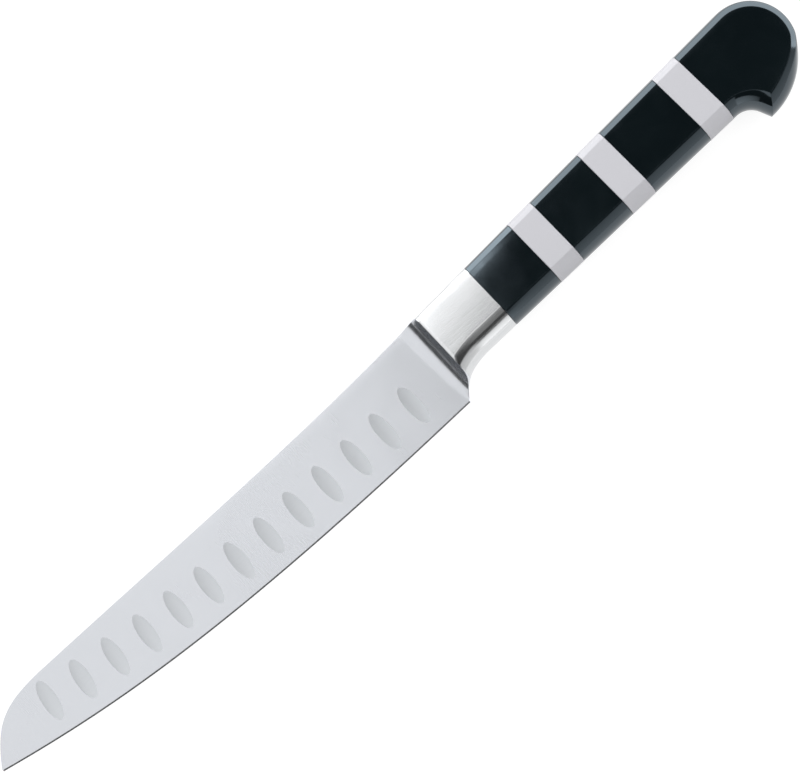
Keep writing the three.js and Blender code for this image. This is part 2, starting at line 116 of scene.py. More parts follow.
# Handle
HANDLE_THICKNESS = 12
EDGE_FLAT = 0.4
BELLY_ROUND = 6.2
BACK_EDGE = 1.6
BACK_BEVEL = 0.95
BACK_ROUND_POWER = 12
FRONT_HEIGHT = 16.8
REAR_HEIGHT = 18.77
FRONT_SEGMENT_LENGTH = 13.2
SECOND_SEGMENT_LENGTH = 14.45
THIRD_SEGMENT_LENGTH = 16.25
FERRULE_LENGTH = 6.8
FERRULE_WALL = 1.2
JOINT_FAN = 2.7
BOND_GAP = 0.05
SPIGOT_CLEARANCE = 0.15
SEAM_BREAK = 0.07
BACK_EASE = 0.06
BEVEL_OVERRUN = 0.3
BELLY_EASE = 0.08
SIDE_CROWN = 0.05
SIDE_CROWN_WIDTH = 5.2

# Pommel
POMMEL_LENGTH = 23.5
BUTT_RADIUS = 10.6
UNDERSIDE_RADIUS = 17.3
UNDERSIDE_START = -30
HOOK_RADIUS = 4.8
HOOK_SETBACK = 1.3
BEAK_ANGLE = 66
RIM_NARROW_ANGLE = -20
RIM_WIDE_ANGLE = -75

# Tang, stud and the way for them through the grip
TANG_HEIGHT = 8
TANG_THICKNESS = 4
TANG_ENGAGEMENT = 5
TANG_CLEARANCE = 0.3
SEAT_WEB = 4
STUD_DIAMETER = 4
STUD_REACH = 9.5
COUNTERBORE_DIAMETER = 7.6
NOSE_DIAMETER = 7.2
NOSE_TIP_GAP = 1.2

# Places along the knife
JOINT_FRONT = FRONT_SEGMENT_LENGTH
JOINT_SECOND = JOINT_FRONT + FERRULE_LENGTH
JOINT_MIDDLE = JOINT_SECOND + SECOND_SEGMENT_LENGTH
JOINT_THIRD = JOINT_MIDDLE + FERRULE_LENGTH
JOINT_REAR = JOINT_THIRD + THIRD_SEGMENT_LENGTH
JOINT_POMMEL = JOINT_REAR + FERRULE_LENGTH
BUTT_X = JOINT_POMMEL + POMMEL_LENGTH
HEEL_X = -(CHOIL_SETBACK + CHOIL_LENGTH)
TIP_X = -(BOLSTER_LENGTH + BLADE_LENGTH)
FLAT_X = -BOLSTER_LENGTH
FILLET_X = FLAT_X - BOLSTER_FILLET
BACK_SLOPE = (REAR_HEIGHT - FRONT_HEIGHT) / JOINT_POMMEL
TANG_Y = FRONT_HEIGHT / 2
TANG_END_X = JOINT_THIRD + TANG_ENGAGEMENT
SLOT_END_X = TANG_END_X + TANG_CLEARANCE
SEAT_X = SLOT_END_X + SEAT_WEB
STUD_END_X = TANG_END_X + STUD_REACH
HALF = HANDLE_THICKNESS / 2
SPIGOT_INSET = FERRULE_WALL + SPIGOT_CLEARANCE
SPIGOT_REACH = (FERRULE_LENGTH - SPIGOT_CLEARANCE) / 2

# Fineness of the meshes
CURVE_POINTS = 200
ARC_POINTS = 26
ARC_CROWDING = 2
EASE_POINTS = 8
CROWN_POINTS = 4
FACE_POINTS = 10
BLADE_STATIONS = 90
BLADE_CROWDING = 1.5
FILLET_STATIONS = 22
BOLSTER_STATIONS = 26
HOOK_POINTS = 40
UNDERSIDE_POINTS = 24
BUTT_POINTS = 44
EDGE_POINTS = ARC_POINTS + EASE_POINTS - 1
HOLLOW_SEGMENTS = 72
HOLLOW_RINGS = 64
SHARP_ANGLE = 12
RISE_STEP = 0.01
SLOPE_STEP = 0.1
LEAN_STEP = 0.5
STATION_TOLERANCE = 1e-4
LEAST_SPREAD = 1e-9
WELD_DISTANCE = 1e-7

# Which finish the faces of the forging take
GROUND, WHETTED, POLISHED = range(3)

# Photograph: the part of the drawing at its middle, its width, and the turn of the knife in it
PHOTO_CENTRE = (-27.5, 7.8)
PHOTO_WIDTH = 173.33
PHOTO_TURN = 43.5
LENS = 150
SENSOR = 36

# Studio: floor and depth of the finishes' marks in metres, lamps in the drawing's millimetres
FLOOR_SIZE = 8
FLOOR_DROP = 0.0001
FLOOR_GLOW = 0.86
FLOOR_PALENESS = 0.3
WORLD_LEVEL = 0.06
LAMP_HEIGHT = 800
SPOT_HEIGHT = 790
BACK_WALL = 800
GLOW_WALL = 790
FRONT_WALL = -700
WALL_TOP = 600
HEEL_LIGHT_TOP = 410
OPEN_SPREAD = 180
MARK_DEPTH = 0.00001
GRAIN_DEPTH = 0.00002


def drawing_zero():
    """The drawing's zero point in the frame, in metres: bolster's rear face, belly line, middle plane."""
    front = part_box("front_grip_segment")[0].x - BOND_GAP / 2 * MM
    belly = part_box("front_ferrule")[0].y
    low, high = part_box("pommel")
    return np.array((front, belly, (low.z + high.z) / 2))


ZERO = drawing_zero()


def placed(points):
    """Points of the drawing as points of the frame."""
    return ZERO + np.asarray(points, float) * MM


# Curves of the side view


def bezier(start, pull_start, pull_end, end):
    t = np.linspace(0, 1, CURVE_POINTS)[:, None]
    corners = [np.array(p, float) for p in (start, pull_start, pull_end, end)]
    weights = ((1 - t) ** 3, 3 * (1 - t) ** 2 * t, 3 * (1 - t) * t**2, t**3)
    return sum(w * p for w, p in zip(weights, corners))


def back_height(x):
    return FRONT_HEIGHT + (REAR_HEIGHT - FRONT_HEIGHT) * x / JOINT_POMMEL


def edge_curve():
    return bezier(
        (TIP_X, TIP_HEIGHT),
        (TIP_X + EDGE_TIP_PULL, TIP_HEIGHT - EDGE_TIP_PULL * EDGE_TIP_SLOPE),
        (HEEL_X - EDGE_HEEL_PULL, -EDGE_DROP),
        (HEEL_X, -EDGE_DROP),
    )


def spine_curve():
    top = TIP_HEIGHT + TIP_BLUNT
    angle = radians(DROP_TIP_ANGLE)
    drop_end = (TIP_X + DROP_LENGTH, SPINE_FRONT_HEIGHT)
    spine_end = (HEEL_X, back_height(HEEL_X) - SPINE_STEP)
    third = (spine_end[0] - drop_end[0]) / 3
    drop = bezier(
        (TIP_X, top),
        (TIP_X + DROP_TIP_PULL * cos(angle), top + DROP_TIP_PULL * sin(angle)),
        (drop_end[0] - DROP_SPINE_PULL, drop_end[1]),
        drop_end,
    )
    spine = bezier(
        drop_end,
        (drop_end[0] + third, drop_end[1] - SPINE_FRONT_SAG),
        (spine_end[0] - third, spine_end[1] - SPINE_REAR_SAG),
        spine_end,
    )
    return np.vstack((drop, spine[1:]))


def choil_curve():
    """The choil from the heel up to the belly line, run straight on past both ends."""
    angle = radians(CHOIL_HEEL_ANGLE)
    curve = bezier(
        (HEEL_X, -EDGE_DROP),
        (HEEL_X + CHOIL_HEEL_PULL * cos(angle), -EDGE_DROP + CHOIL_HEEL_PULL * sin(angle)),
        (-CHOIL_SETBACK - CHOIL_BELLY_PULL, 0),
        (-CHOIL_SETBACK, 0),
    )
    below = curve[0] - BOLSTER_LENGTH * np.array((cos(angle), sin(angle)))
    return np.vstack((below, curve, (BOLSTER_LENGTH, 0)))


EDGE = edge_curve()
SPINE = spine_curve()
CHOIL = choil_curve()


def choil_normals():
    along = np.gradient(CHOIL, axis=0)
    along /= np.linalg.norm(along, axis=1)[:, None]
    return np.column_stack((-along[:, 1], along[:, 0]))


CHOIL_NORMALS = choil_normals()


def edge_height(x):
    return np.interp(x, EDGE[:, 0], EDGE[:, 1])


def smooth_step(share):
    share = np.clip(share, 0, 1)
    return share * share * (3 - 2 * share)


def top_height(x):
    """The spine of the blade, which steps up gently to the back of the bolster."""
    spine = np.interp(x, SPINE[:, 0], SPINE[:, 1])
    step = smooth_step((x - FILLET_X) / BOLSTER_FILLET)
    return spine + (back_height(x) - spine) * step


def belly_height(x, inset=0.0):
    """Height at x of the choil and belly line, moved inwards by the inset."""
    moved = CHOIL + inset * CHOIL_NORMALS
    return np.interp(x, moved[:, 0], moved[:, 1])


# Heights of the forging's side faces above the middle plane


def half_thickness(x, y):
    share = np.clip((x - TIP_X) / (HEEL_X - TIP_X), 0, 1)
    full = POINT_THICKNESS + (SPINE_THICKNESS - POINT_THICKNESS) * share
    depth = back_height(HEEL_X) - SPINE_STEP + EDGE_DROP
    slope = (full - SHOULDER_THICKNESS) / 2 / depth
    return SHOULDER_THICKNESS / 2 + slope * (y - edge_height(x))


def bolster_flat(x, y):
    """The bolster's side: tapered to the front, falling off to the back, with an eased front edge."""
    taper = BOLSTER_TAPER * np.clip(x / FLAT_X, 0, 1)
    share = (y - BOLSTER_CROWN_START) / (back_height(x) - BOLSTER_CROWN_START)
    crown = SIDE_CROWN * np.clip(share, 0, 1) ** 2
    short = np.clip(1 - (x - FLAT_X) / FRONT_EDGE_EASE, 0, 1)
    return HALF - taper - crown - FRONT_EDGE_EASE * (1 - np.sqrt(1 - short**2))


def side_height(x, y):
    """The side of blade, fillet and bolster. The fillet starts nearer the bolster towards the heel."""
    blade = half_thickness(x, y)
    share = np.clip((back_height(x) - y) / (back_height(x) + EDGE_DROP), 0, 1)
    start = FILLET_X + (HEEL_X - FILLET_X) * share**2
    reach = np.clip((x - start) / (FLAT_X - start), 0, 1)
    rise = 1 - (1 - reach**FILLET_POWER) ** (1 / FILLET_POWER)
    return blade + (bolster_flat(x, y) - blade) * rise


# Rims: half a section's edge, from the middle plane up to the side face, as pairs of inset and height


def respaced(path, count, short=0.0, crowding=1):
    """Points spaced along a path, closer towards its end if crowded, which may stop short of that end."""
    steps = np.linalg.norm(np.diff(path, axis=0), axis=1)
    length = np.concatenate(([0], np.cumsum(steps)))
    marks = (length[-1] - short) * (1 - np.linspace(1, 0, count) ** crowding)
    return np.column_stack([np.interp(marks, length, path[:, i]) for i in (0, 1)])


def oval(reach, width, strip):
    """A quarter oval above an upright strip."""
    turn = np.linspace(0, pi / 2, CURVE_POINTS)
    return np.column_stack((reach * (1 - np.cos(turn)), strip + width * np.sin(turn)))


def bolster_round(x):
    """The bolster's lower round, which meets its flat side at the same inset everywhere."""
    strip = EDGE_FLAT / 2
    level_at_edge = sqrt(1 - (1 - BOLSTER_EDGE / BOLSTER_ROUND) ** 2)
    return oval(BOLSTER_ROUND, (bolster_flat(x, 0) - strip) / level_at_edge, strip)


def bevelled_back(strip):
    """The upright back, rounded over into a bevel that reaches the side at the back edge."""
    share = 1 - (1 + BEVEL_OVERRUN) * np.linspace(0, 1, CURVE_POINTS) ** 2
    edge = HALF - SIDE_CROWN
    height = edge - BACK_BEVEL * share - (edge - BACK_BEVEL - strip) * share**BACK_ROUND_POWER
    return np.column_stack((BACK_EDGE * (1 - share), height))


def rim(outline, side_at, ease):
    """An outline up to where it meets the side face, with an eased edge there."""
    room = np.array([side_at(inset) - height for inset, height in outline])
    end = np.flatnonzero(room <= 0)[0]
    share = room[end - 1] / (room[end - 1] - room[end])
    edge = outline[end - 1] + share * (outline[end] - outline[end - 1])
    arc = respaced(np.vstack((outline[:end], edge)), ARC_POINTS, ease, ARC_CROWDING)
    last = np.array((edge[0] + ease, side_at(edge[0] + ease)))
    t = np.linspace(0, 1, EASE_POINTS)[1:, None]
    corner = (1 - t) ** 2 * arc[-1] + 2 * t * (1 - t) * edge + t**2 * last
    return np.vstack(((0, 0), arc, corner))


def handle_rim(outline, edge_inset, ease):
    """A rim of the handle with the slight crown of its side."""
    def side_at(inset):
        share = np.clip((inset - edge_inset) / SIDE_CROWN_WIDTH, 0, 1)
        return HALF - SIDE_CROWN * (1 - share) ** 2

    edge = rim(outline, side_at, ease)
    inner = np.linspace(edge[-1, 0], edge_inset + SIDE_CROWN_WIDTH, CROWN_POINTS + 1)[1:]
    return np.vstack((edge, [(inset, side_at(inset)) for inset in inner]))


BELLY_EDGE = BELLY_ROUND - sqrt(BELLY_ROUND**2 - (HALF - EDGE_FLAT / 2) ** 2)
BACK_RIM = handle_rim(bevelled_back(EDGE_FLAT / 2), BACK_EDGE, BACK_EASE)
BELLY_RIM = handle_rim(oval(BELLY_ROUND, BELLY_ROUND, EDGE_FLAT / 2), BELLY_EDGE, BELLY_EASE)


# Loops: closed sections across the knife, all of one kind with the same number of points


def mirrored(half):
    """A half section of (y, z) pairs, closed round the other side of the middle plane."""
    other = half[-2:0:-1] * (1, -1)
    return np.vstack((half, other))


def joint_lean(joint_x):
    """How far a joint's plane leans per millimetre of height. The joints fan out along the handle."""
    return tan(radians(JOINT_FAN) * joint_x / JOINT_POMMEL)


def leaning(joint_x, section):
    """A section of (y, z) pairs on the plane of a joint."""
    x = joint_x - (section[:, 0] - REAR_HEIGHT / 2) * joint_lean(joint_x)
    return np.column_stack((x, section))


def upright(x, section):
    return np.column_stack((np.full(len(section), x), section))


def shrunk(section, inset):
    low, high = section[:, 0].min(), section[:, 0].max()
    middle, half_height = (low + high) / 2, (high - low) / 2
    y = middle + (section[:, 0] - middle) * (1 - inset / half_height)
    z = section[:, 1] * (1 - inset / section[:, 1].max())
    return np.column_stack((y, z))


def back_line(joint_x, inset):
    """Where the back line, moved inwards by the inset, crosses the plane of a joint."""
    lean = joint_lean(joint_x)
    run = joint_x + lean * REAR_HEIGHT / 2
    height = FRONT_HEIGHT + BACK_SLOPE * run - inset * sqrt(1 + BACK_SLOPE**2)
    return height / (1 + BACK_SLOPE * lean)


def handle_loop(joint_x, inset=0.0):
    back = np.column_stack((back_line(joint_x, BACK_RIM[:, 0]), BACK_RIM[:, 1]))
    section = mirrored(np.vstack((BELLY_RIM, back[::-1])))
    return leaning(joint_x, shrunk(section, inset))


def directions(loop):
    """Which way each point of a loop lies from the tang's axis."""
    ways = loop[:, 1:] - (TANG_Y, 0)
    return ways / np.linalg.norm(ways, axis=1)[:, None]


def bar_section(ways, height, thickness):
    spread = np.maximum(np.abs(ways), LEAST_SPREAD)
    reach = np.minimum(height / 2 / spread[:, 0], thickness / 2 / spread[:, 1])
    return ways * reach[:, None] + (TANG_Y, 0)


def rod_section(ways, diameter):
    return ways * diameter / 2 + (TANG_Y, 0)


# Skins: points and faces of a surface through a row of loops


def loft(loops, ring=False, first_cap=False, last_cap=False):
    around = len(loops[0])
    count = len(loops)
    faces = []
    for i in range(count if ring else count - 1):
        a, b = i * around, (i + 1) % count * around
        for j in range(around):
            k = (j + 1) % around
            faces.append((a + j, a + k, b + k, b + j))
    if first_cap:
        faces.append(tuple(range(around)))
    if last_cap:
        faces.append(tuple(range((count - 1) * around, count * around)))
    return np.vstack(loops), faces


def joined(*skins):
    points, faces, start = [], [], 0
    for skin_points, skin_faces in skins:
        points.append(skin_points)
        faces += [tuple(start + i for i in face) for face in skin_faces]
        start += len(skin_points)
    return np.vstack(points), faces


def mark_creases(mesh):
    """Smooth shading, broken at sharp angles and where two finishes meet."""
    mesh.shade_smooth()
    mesh.set_sharp_from_angle(angle=radians(SHARP_ANGLE))
    work = bmesh.new()
    work.from_mesh(mesh)
    for edge in work.edges:
        if len({face.material_index for face in edge.link_faces}) > 1:
            edge.smooth = False
    work.to_mesh(mesh)
    work.free()


def make_piece(name, skin, finishes, finish_of_face=None):
    points, faces = skin
    mesh = bpy.data.meshes.new(name)
    mesh.from_pydata(placed(points).tolist(), [], faces)
    for finish in finishes:
        mesh.materials.append(finish)
    if finish_of_face is not None:
        mesh.polygons.foreach_set("material_index", finish_of_face)
    work = bmesh.new()
    work.from_mesh(mesh)
    bmesh.ops.remove_doubles(work, verts=work.verts, dist=WELD_DISTANCE)
    bmesh.ops.dissolve_degenerate(work, edges=work.edges, dist=WELD_DISTANCE)
    bmesh.ops.recalc_face_normals(work, faces=work.faces)
    work.to_mesh(mesh)
    work.free()
    mark_creases(mesh)
    piece = bpy.data.objects.new(name, mesh)
    bpy.context.scene.collection.objects.link(piece)
    return piece


# Blade and bolster: one forging


def forging_stations():
    share = np.linspace(0, 1, BLADE_STATIONS) ** BLADE_CROWDING
    blade = TIP_X + (FILLET_X - TIP_X) * share
    fillet = FILLET_X + BOLSTER_FILLET * np.sin(np.linspace(0, pi / 2, FILLET_STATIONS))
    bolster = np.linspace(FLAT_X + FRONT_EDGE_EASE, -BOND_GAP / 2 - SEAM_BREAK, BOLSTER_STATIONS)
    front_edge = FLAT_X + FRONT_EDGE_EASE * (1 - np.cos(np.linspace(0, pi / 2, EASE_POINTS)))
    return np.unique(np.round(np.concatenate((blade, fillet, front_edge, bolster, [HEEL_X])), 6))


def bevel_half(x, edge_y, height):
    """The sharpened bevel, from the apex up to its shoulder."""
    shoulder = edge_y + min(BEVEL_HEIGHT, height / 2)
    y = np.linspace(edge_y, shoulder, EDGE_POINTS)
    z = np.linspace(APEX_THICKNESS / 2, side_height(x, shoulder), EDGE_POINTS)
    return np.vstack(((edge_y, 0), np.column_stack((y, z))))


def lower_half(x):
    """The lower edge of the forging at x: sharpened bevel, or the round of choil and bolster."""
    bottom = edge_height(x) if x < HEEL_X else belly_height(x)
    bevel = bevel_half(x, bottom, top_height(x) - bottom)
    if x <= HEEL_X:
        return bevel

    def side_at(inset):
        return side_height(x, belly_height(x, inset))

    round_rim = rim(bolster_round(x), side_at, CHOIL_EASE)
    y = [belly_height(x, inset) for inset in round_rim[:, 0]]
    share = min(1, (x - HEEL_X) / HEEL_BLEND)
    return bevel + (np.column_stack((y, round_rim[:, 1])) - bevel) * smooth_step(share)


def upper_half(x):
    top = top_height(x)
    rise = (top_height(x + RISE_STEP) - top) / RISE_STEP if x < FILLET_X else 0
    stretch = sqrt(1 + rise**2)
    ease = min(BACK_EASE, SPINE_EASE_SHARE * side_height(x, top))

    def side_at(inset):
        return side_height(x, top - inset * stretch)

    crown = rim(bevelled_back(min(EDGE_FLAT, side_at(0)) / 2), side_at, ease)
    return np.column_stack((top - crown[:, 0] * stretch, crown[:, 1]))


def forging_section(x):
    lower, upper = lower_half(x), upper_half(x)
    y = np.linspace(lower[-1, 0], upper[-1, 0], FACE_POINTS + 2)[1:-1]
    face = np.column_stack((y, side_height(x, y)))
    return mirrored(np.vstack((lower, face, upper[::-1])))


def forging_finishes(stations, around, face_count):
    """The finish of each face: ground blade and end caps, whetted bevel, polished bolster."""
    finish = np.full(face_count, POLISHED)
    for i, x in enumerate(stations[:-1]):
        first, end = i * around, (i + 1) * around
        if x < FLAT_X - STATION_TOLERANCE:
            finish[first:end] = GROUND
        if x < HEEL_X - STATION_TOLERANCE:
            finish[first:first + EDGE_POINTS] = WHETTED
            finish[end - EDGE_POINTS:end] = WHETTED
    finish[-2:] = GROUND
    return finish


def make_forging(finishes):
    stations = forging_stations()
    loops = [upright(x, forging_section(x)) for x in stations]
    ways = directions(loops[-1])
    rear = -BOND_GAP / 2
    loops += [
        upright(rear, shrunk(loops[-1][:, 1:], SEAM_BREAK)),
        upright(rear, bar_section(ways, TANG_HEIGHT, TANG_THICKNESS)),
        upright(TANG_END_X, bar_section(ways, TANG_HEIGHT, TANG_THICKNESS)),
        upright(TANG_END_X, rod_section(ways, STUD_DIAMETER)),
        upright(STUD_END_X, rod_section(ways, STUD_DIAMETER)),
    ]
    skin = loft(loops, first_cap=True, last_cap=True)
    finish_of_face = forging_finishes(stations, len(ways), len(skin[1]))
    return make_piece("blade_and_bolster", skin, finishes, finish_of_face)


# Hollows, ground into both faces of the blade


def hollow_stations():
    """Middle, edge direction and face normal of each hollow, the rear row half a pitch out of step."""
    rows = []
    for side, shift in ((1, 0), (-1, HOLLOW_PITCH / 2)):
        first = FLAT_X - HOLLOW_BOLSTER_MARGIN - shift
        for x in np.arange(first, TIP_X + HOLLOW_TIP_MARGIN, -HOLLOW_PITCH):
            rise = (edge_height(x + SLOPE_STEP) - edge_height(x - SLOPE_STEP)) / (2 * SLOPE_STEP)
            along = np.array((1, rise, 0)) / sqrt(1 + rise**2)
            y = edge_height(x) + HOLLOW_RISE / along[0]
            thicker = half_thickness(x, y + LEAN_STEP) - half_thickness(x, y - LEAN_STEP)
            lean = thicker / (2 * LEAN_STEP)
            normal = np.array((along[1] * lean, -along[0] * lean, 1)) * (1, 1, side)
            rows.append(((x, y, side * half_thickness(x, y)), along, normal))
    return rows


def hollow_tree():
    """Geometry nodes: an oval grinding wheel at each station, sunk into the blade by the depth."""
    tree = bpy.data.node_groups.new("hollow_rows", "GeometryNodeTree")
    face = tree.interface
    face.new_socket("Geometry", in_out="INPUT", socket_type="NodeSocketGeometry")
    for name in ("Hollow Width", "Hollow Length", "Hollow Depth"):
        face.new_socket(name, in_out="INPUT", socket_type="NodeSocketFloat")
    face.new_socket("Finish", in_out="INPUT", socket_type="NodeSocketMaterial")
    face.new_socket("Geometry", in_out="OUTPUT", socket_type="NodeSocketGeometry")
    nodes, link = tree.nodes, tree.links.new
    sizes = nodes.new("NodeGroupInput")
    wheel = nodes.new("GeometryNodeMeshUVSphere")
    wheel.inputs["Segments"].default_value = HOLLOW_SEGMENTS
    wheel.inputs["Rings"].default_value = HOLLOW_RINGS
    wheel.inputs["Radius"].default_value = 1
    steepness = 1 / (1 - sqrt(1 - WHEEL_OVERSIZE**-2))

    def times(socket, factor):
        node = nodes.new("ShaderNodeMath")
        node.operation = "MULTIPLY"
        link(socket, node.inputs[0])
        node.inputs[1].default_value = factor
        return node.outputs[0]

    radii = nodes.new("ShaderNodeCombineXYZ")
    link(times(sizes.outputs["Hollow Width"], WHEEL_OVERSIZE / 2), radii.inputs["X"])
    link(times(sizes.outputs["Hollow Length"], WHEEL_OVERSIZE / 2), radii.inputs["Y"])
    link(times(sizes.outputs["Hollow Depth"], steepness), radii.inputs["Z"])
    lift = nodes.new("ShaderNodeCombineXYZ")
    link(times(sizes.outputs["Hollow Depth"], steepness - 1), lift.inputs["Z"])
    shape = nodes.new("GeometryNodeTransform")
    link(wheel.outputs["Mesh"], shape.inputs["Geometry"])
    link(lift.outputs[0], shape.inputs["Translation"])
    link(radii.outputs[0], shape.inputs["Scale"])

    def stored(name):
        node = nodes.new("GeometryNodeInputNamedAttribute")
        node.data_type = "FLOAT_VECTOR"
        node.inputs["Name"].default_value = name
        return node.outputs["Attribute"]

    turn = nodes.new("FunctionNodeAxesToRotation")
    turn.primary_axis, turn.secondary_axis = "Z", "X"
    link(stored("face_normal"), turn.inputs[0])
    link(stored("edge_direction"), turn.inputs[1])
    copies = nodes.new("GeometryNodeInstanceOnPoints")
    link(sizes.outputs["Geometry"], copies.inputs["Points"])
    link(shape.outputs["Geometry"], copies.inputs["Instance"])
    link(turn.outputs[0], copies.inputs["Rotation"])
    solid = nodes.new("GeometryNodeRealizeInstances")
    finish = nodes.new("GeometryNodeSetMaterial")
    result = nodes.new("NodeGroupOutput")
    link(copies.outputs["Instances"], solid.inputs["Geometry"])
    link(solid.outputs["Geometry"], finish.inputs["Geometry"])
    link(sizes.outputs["Finish"], finish.inputs["Material"])
    link(finish.outputs["Geometry"], result.inputs["Geometry"])
    return tree


def plain_mesh(thing):
    """The object's mesh with its modifiers applied."""
    graph = bpy.context.evaluated_depsgraph_get()
    return bpy.data.meshes.new_from_object(thing.evaluated_get(graph), depsgraph=graph)


def make_hollow_cutter(finish):
    places, ways, normals = zip(*hollow_stations())
    mesh = bpy.data.meshes.new("hollow_wheels")
    mesh.from_pydata(placed(places).tolist(), [], [])
    for name, values in (("edge_direction", ways), ("face_normal", normals)):
        layer = mesh.attributes.new(name, "FLOAT_VECTOR", "POINT")
        layer.data.foreach_set("vector", np.array(values, float).ravel())
    cutter = bpy.data.objects.new("hollow_wheels", mesh)
    bpy.context.scene.collection.objects.link(cutter)
    tree = hollow_tree()
    rows = cutter.modifiers.new("hollow_rows", "NODES")
    rows.node_group = tree
    values = {
        "Hollow Width": HOLLOW_WIDTH * MM,
        "Hollow Length": HOLLOW_LENGTH * MM,
        "Hollow Depth": HOLLOW_DEPTH * MM,
        "Finish": finish,
    }
    for item in tree.interface.items_tree:
        if item.in_out == "INPUT" and item.name in values:
            rows[item.identifier] = values[item.name]
    cutter.data = plain_mesh(cutter)
    cutter.modifiers.clear()
    return cutter


def grind_hollows(blade, finish):
    cutter = make_hollow_cutter(finish)
    cut = blade.modifiers.new("hollows", "BOOLEAN")
    cut.operation = "DIFFERENCE"
    cut.solver = "MANIFOLD"
    cut.material_mode = "TRANSFER"
    cut.object = cutter
    blade.data = plain_mesh(blade)
    blade.modifiers.clear()
    bpy.data.objects.remove(cutter)
    mark_creases(blade.data)


# Handle


def outer_loops(front_x, rear_x):
    front, rear = front_x + BOND_GAP / 2, rear_x - BOND_GAP / 2
    return [
        handle_loop(front, SEAM_BREAK),
        handle_loop(front + SEAM_BREAK),
        handle_loop(rear - SEAM_BREAK),
        handle_loop(rear, SEAM_BREAK),
    ]


def make_band(name, front_x, finish):
    loops = outer_loops(front_x, front_x + FERRULE_LENGTH)
    rear, front = front_x + FERRULE_LENGTH - BOND_GAP / 2, front_x + BOND_GAP / 2
    loops += [handle_loop(rear, FERRULE_WALL), handle_loop(front, FERRULE_WALL)]
    return make_piece(name, loft(loops, ring=True), [finish])


def slot_loop(joint_x):
    ways = directions(handle_loop(joint_x))
    height = TANG_HEIGHT + 2 * TANG_CLEARANCE
    return leaning(joint_x, bar_section(ways, height, TANG_THICKNESS + 2 * TANG_CLEARANCE))


def nut_seat_loops():
    """From the counterbore forward through the stud hole into the end of the tang's slot."""
    ways = directions(handle_loop(JOINT_REAR))
    counterbore = rod_section(ways, COUNTERBORE_DIAMETER)
    hole = rod_section(ways, STUD_DIAMETER + 2 * TANG_CLEARANCE)
    slot = slot_loop(SLOT_END_X)[:, 1:]
    return [
        leaning(JOINT_REAR + SPIGOT_REACH, counterbore),
        upright(SEAT_X, counterbore),
        upright(SEAT_X, hole),
        upright(SLOT_END_X, hole),
        upright(SLOT_END_X, slot),
    ]


def make_grip(name, front_x, rear_x, finish, plugged_front=True, holds_nut=False):
    loops = outer_loops(front_x, rear_x)
    rear_end = rear_x + SPIGOT_REACH
    loops += [handle_loop(rear_x - BOND_GAP / 2, SPIGOT_INSET), handle_loop(rear_end, SPIGOT_INSET)]
    loops += nut_seat_loops() if holds_nut else [slot_loop(rear_end)]
    front = front_x + BOND_GAP / 2
    if plugged_front:
        front_end = front_x - SPIGOT_REACH
        loops += [slot_loop(front_end), handle_loop(front_end, SPIGOT_INSET)]
        loops.append(handle_loop(front, SPIGOT_INSET))
    else:
        loops.append(slot_loop(front))
    return make_piece(name, loft(loops, ring=True), [finish])


# Pommel: rings at growing insets, from the middle plane up and in over the rim to the flat side

BUTT = np.array((BUTT_X - BUTT_RADIUS, 0.0))
BUTT[1] = back_height(BUTT[0]) - BUTT_RADIUS * sqrt(1 + BACK_SLOPE**2)
BUTT_TOP = pi / 2 + np.arctan(BACK_SLOPE)
HANDOVER = radians(UNDERSIDE_START)
UNDERSIDE = BUTT + (BUTT_RADIUS - UNDERSIDE_RADIUS) * np.array((cos(HANDOVER), sin(HANDOVER)))
HOOK = np.array((JOINT_POMMEL + HOOK_SETBACK, -HOOK_RADIUS))


def arc_points(centre, radii, angles):
    return centre + np.asarray(radii)[:, None] * np.column_stack((np.cos(angles), np.sin(angles)))


def hook_path(start, inset):
    """From the joint along the belly and round the hook to the tip of the beak."""
    radius = HOOK_RADIUS + inset
    flank = radians(90 - BEAK_ANGLE)
    angles = np.linspace(pi / 2, flank, CURVE_POINTS)
    arc = arc_points(HOOK, np.full(CURVE_POINTS, radius), angles)
    down = np.linspace(0, HOOK_RADIUS, CURVE_POINTS)[1:, None]
    path = np.vstack((start, arc, arc[-1] + down * np.array((sin(flank), -cos(flank)))))
    out = np.linalg.norm(path - UNDERSIDE, axis=1) - (UNDERSIDE_RADIUS - inset)
    end = np.flatnonzero(out[1:] > 0)[0] + 1
    share = out[end - 1] / (out[end - 1] - out[end])
    tip = path[end - 1] + share * (path[end] - path[end - 1])
    return respaced(np.vstack((path[:end], tip)), HOOK_POINTS)


def rim_share(angles):
    """How far the wide rim of the underside has given way to the narrow rim of the back."""
    wide = radians(RIM_WIDE_ANGLE)
    return smooth_step((angles - wide) / (radians(RIM_NARROW_ANGLE) - wide))


def butt_rim(angles, step):
    """Insets and heights of a ring along the underside and round the butt."""
    return BELLY_RIM[step] + (BACK_RIM[step] - BELLY_RIM[step]) * rim_share(angles)[:, None]


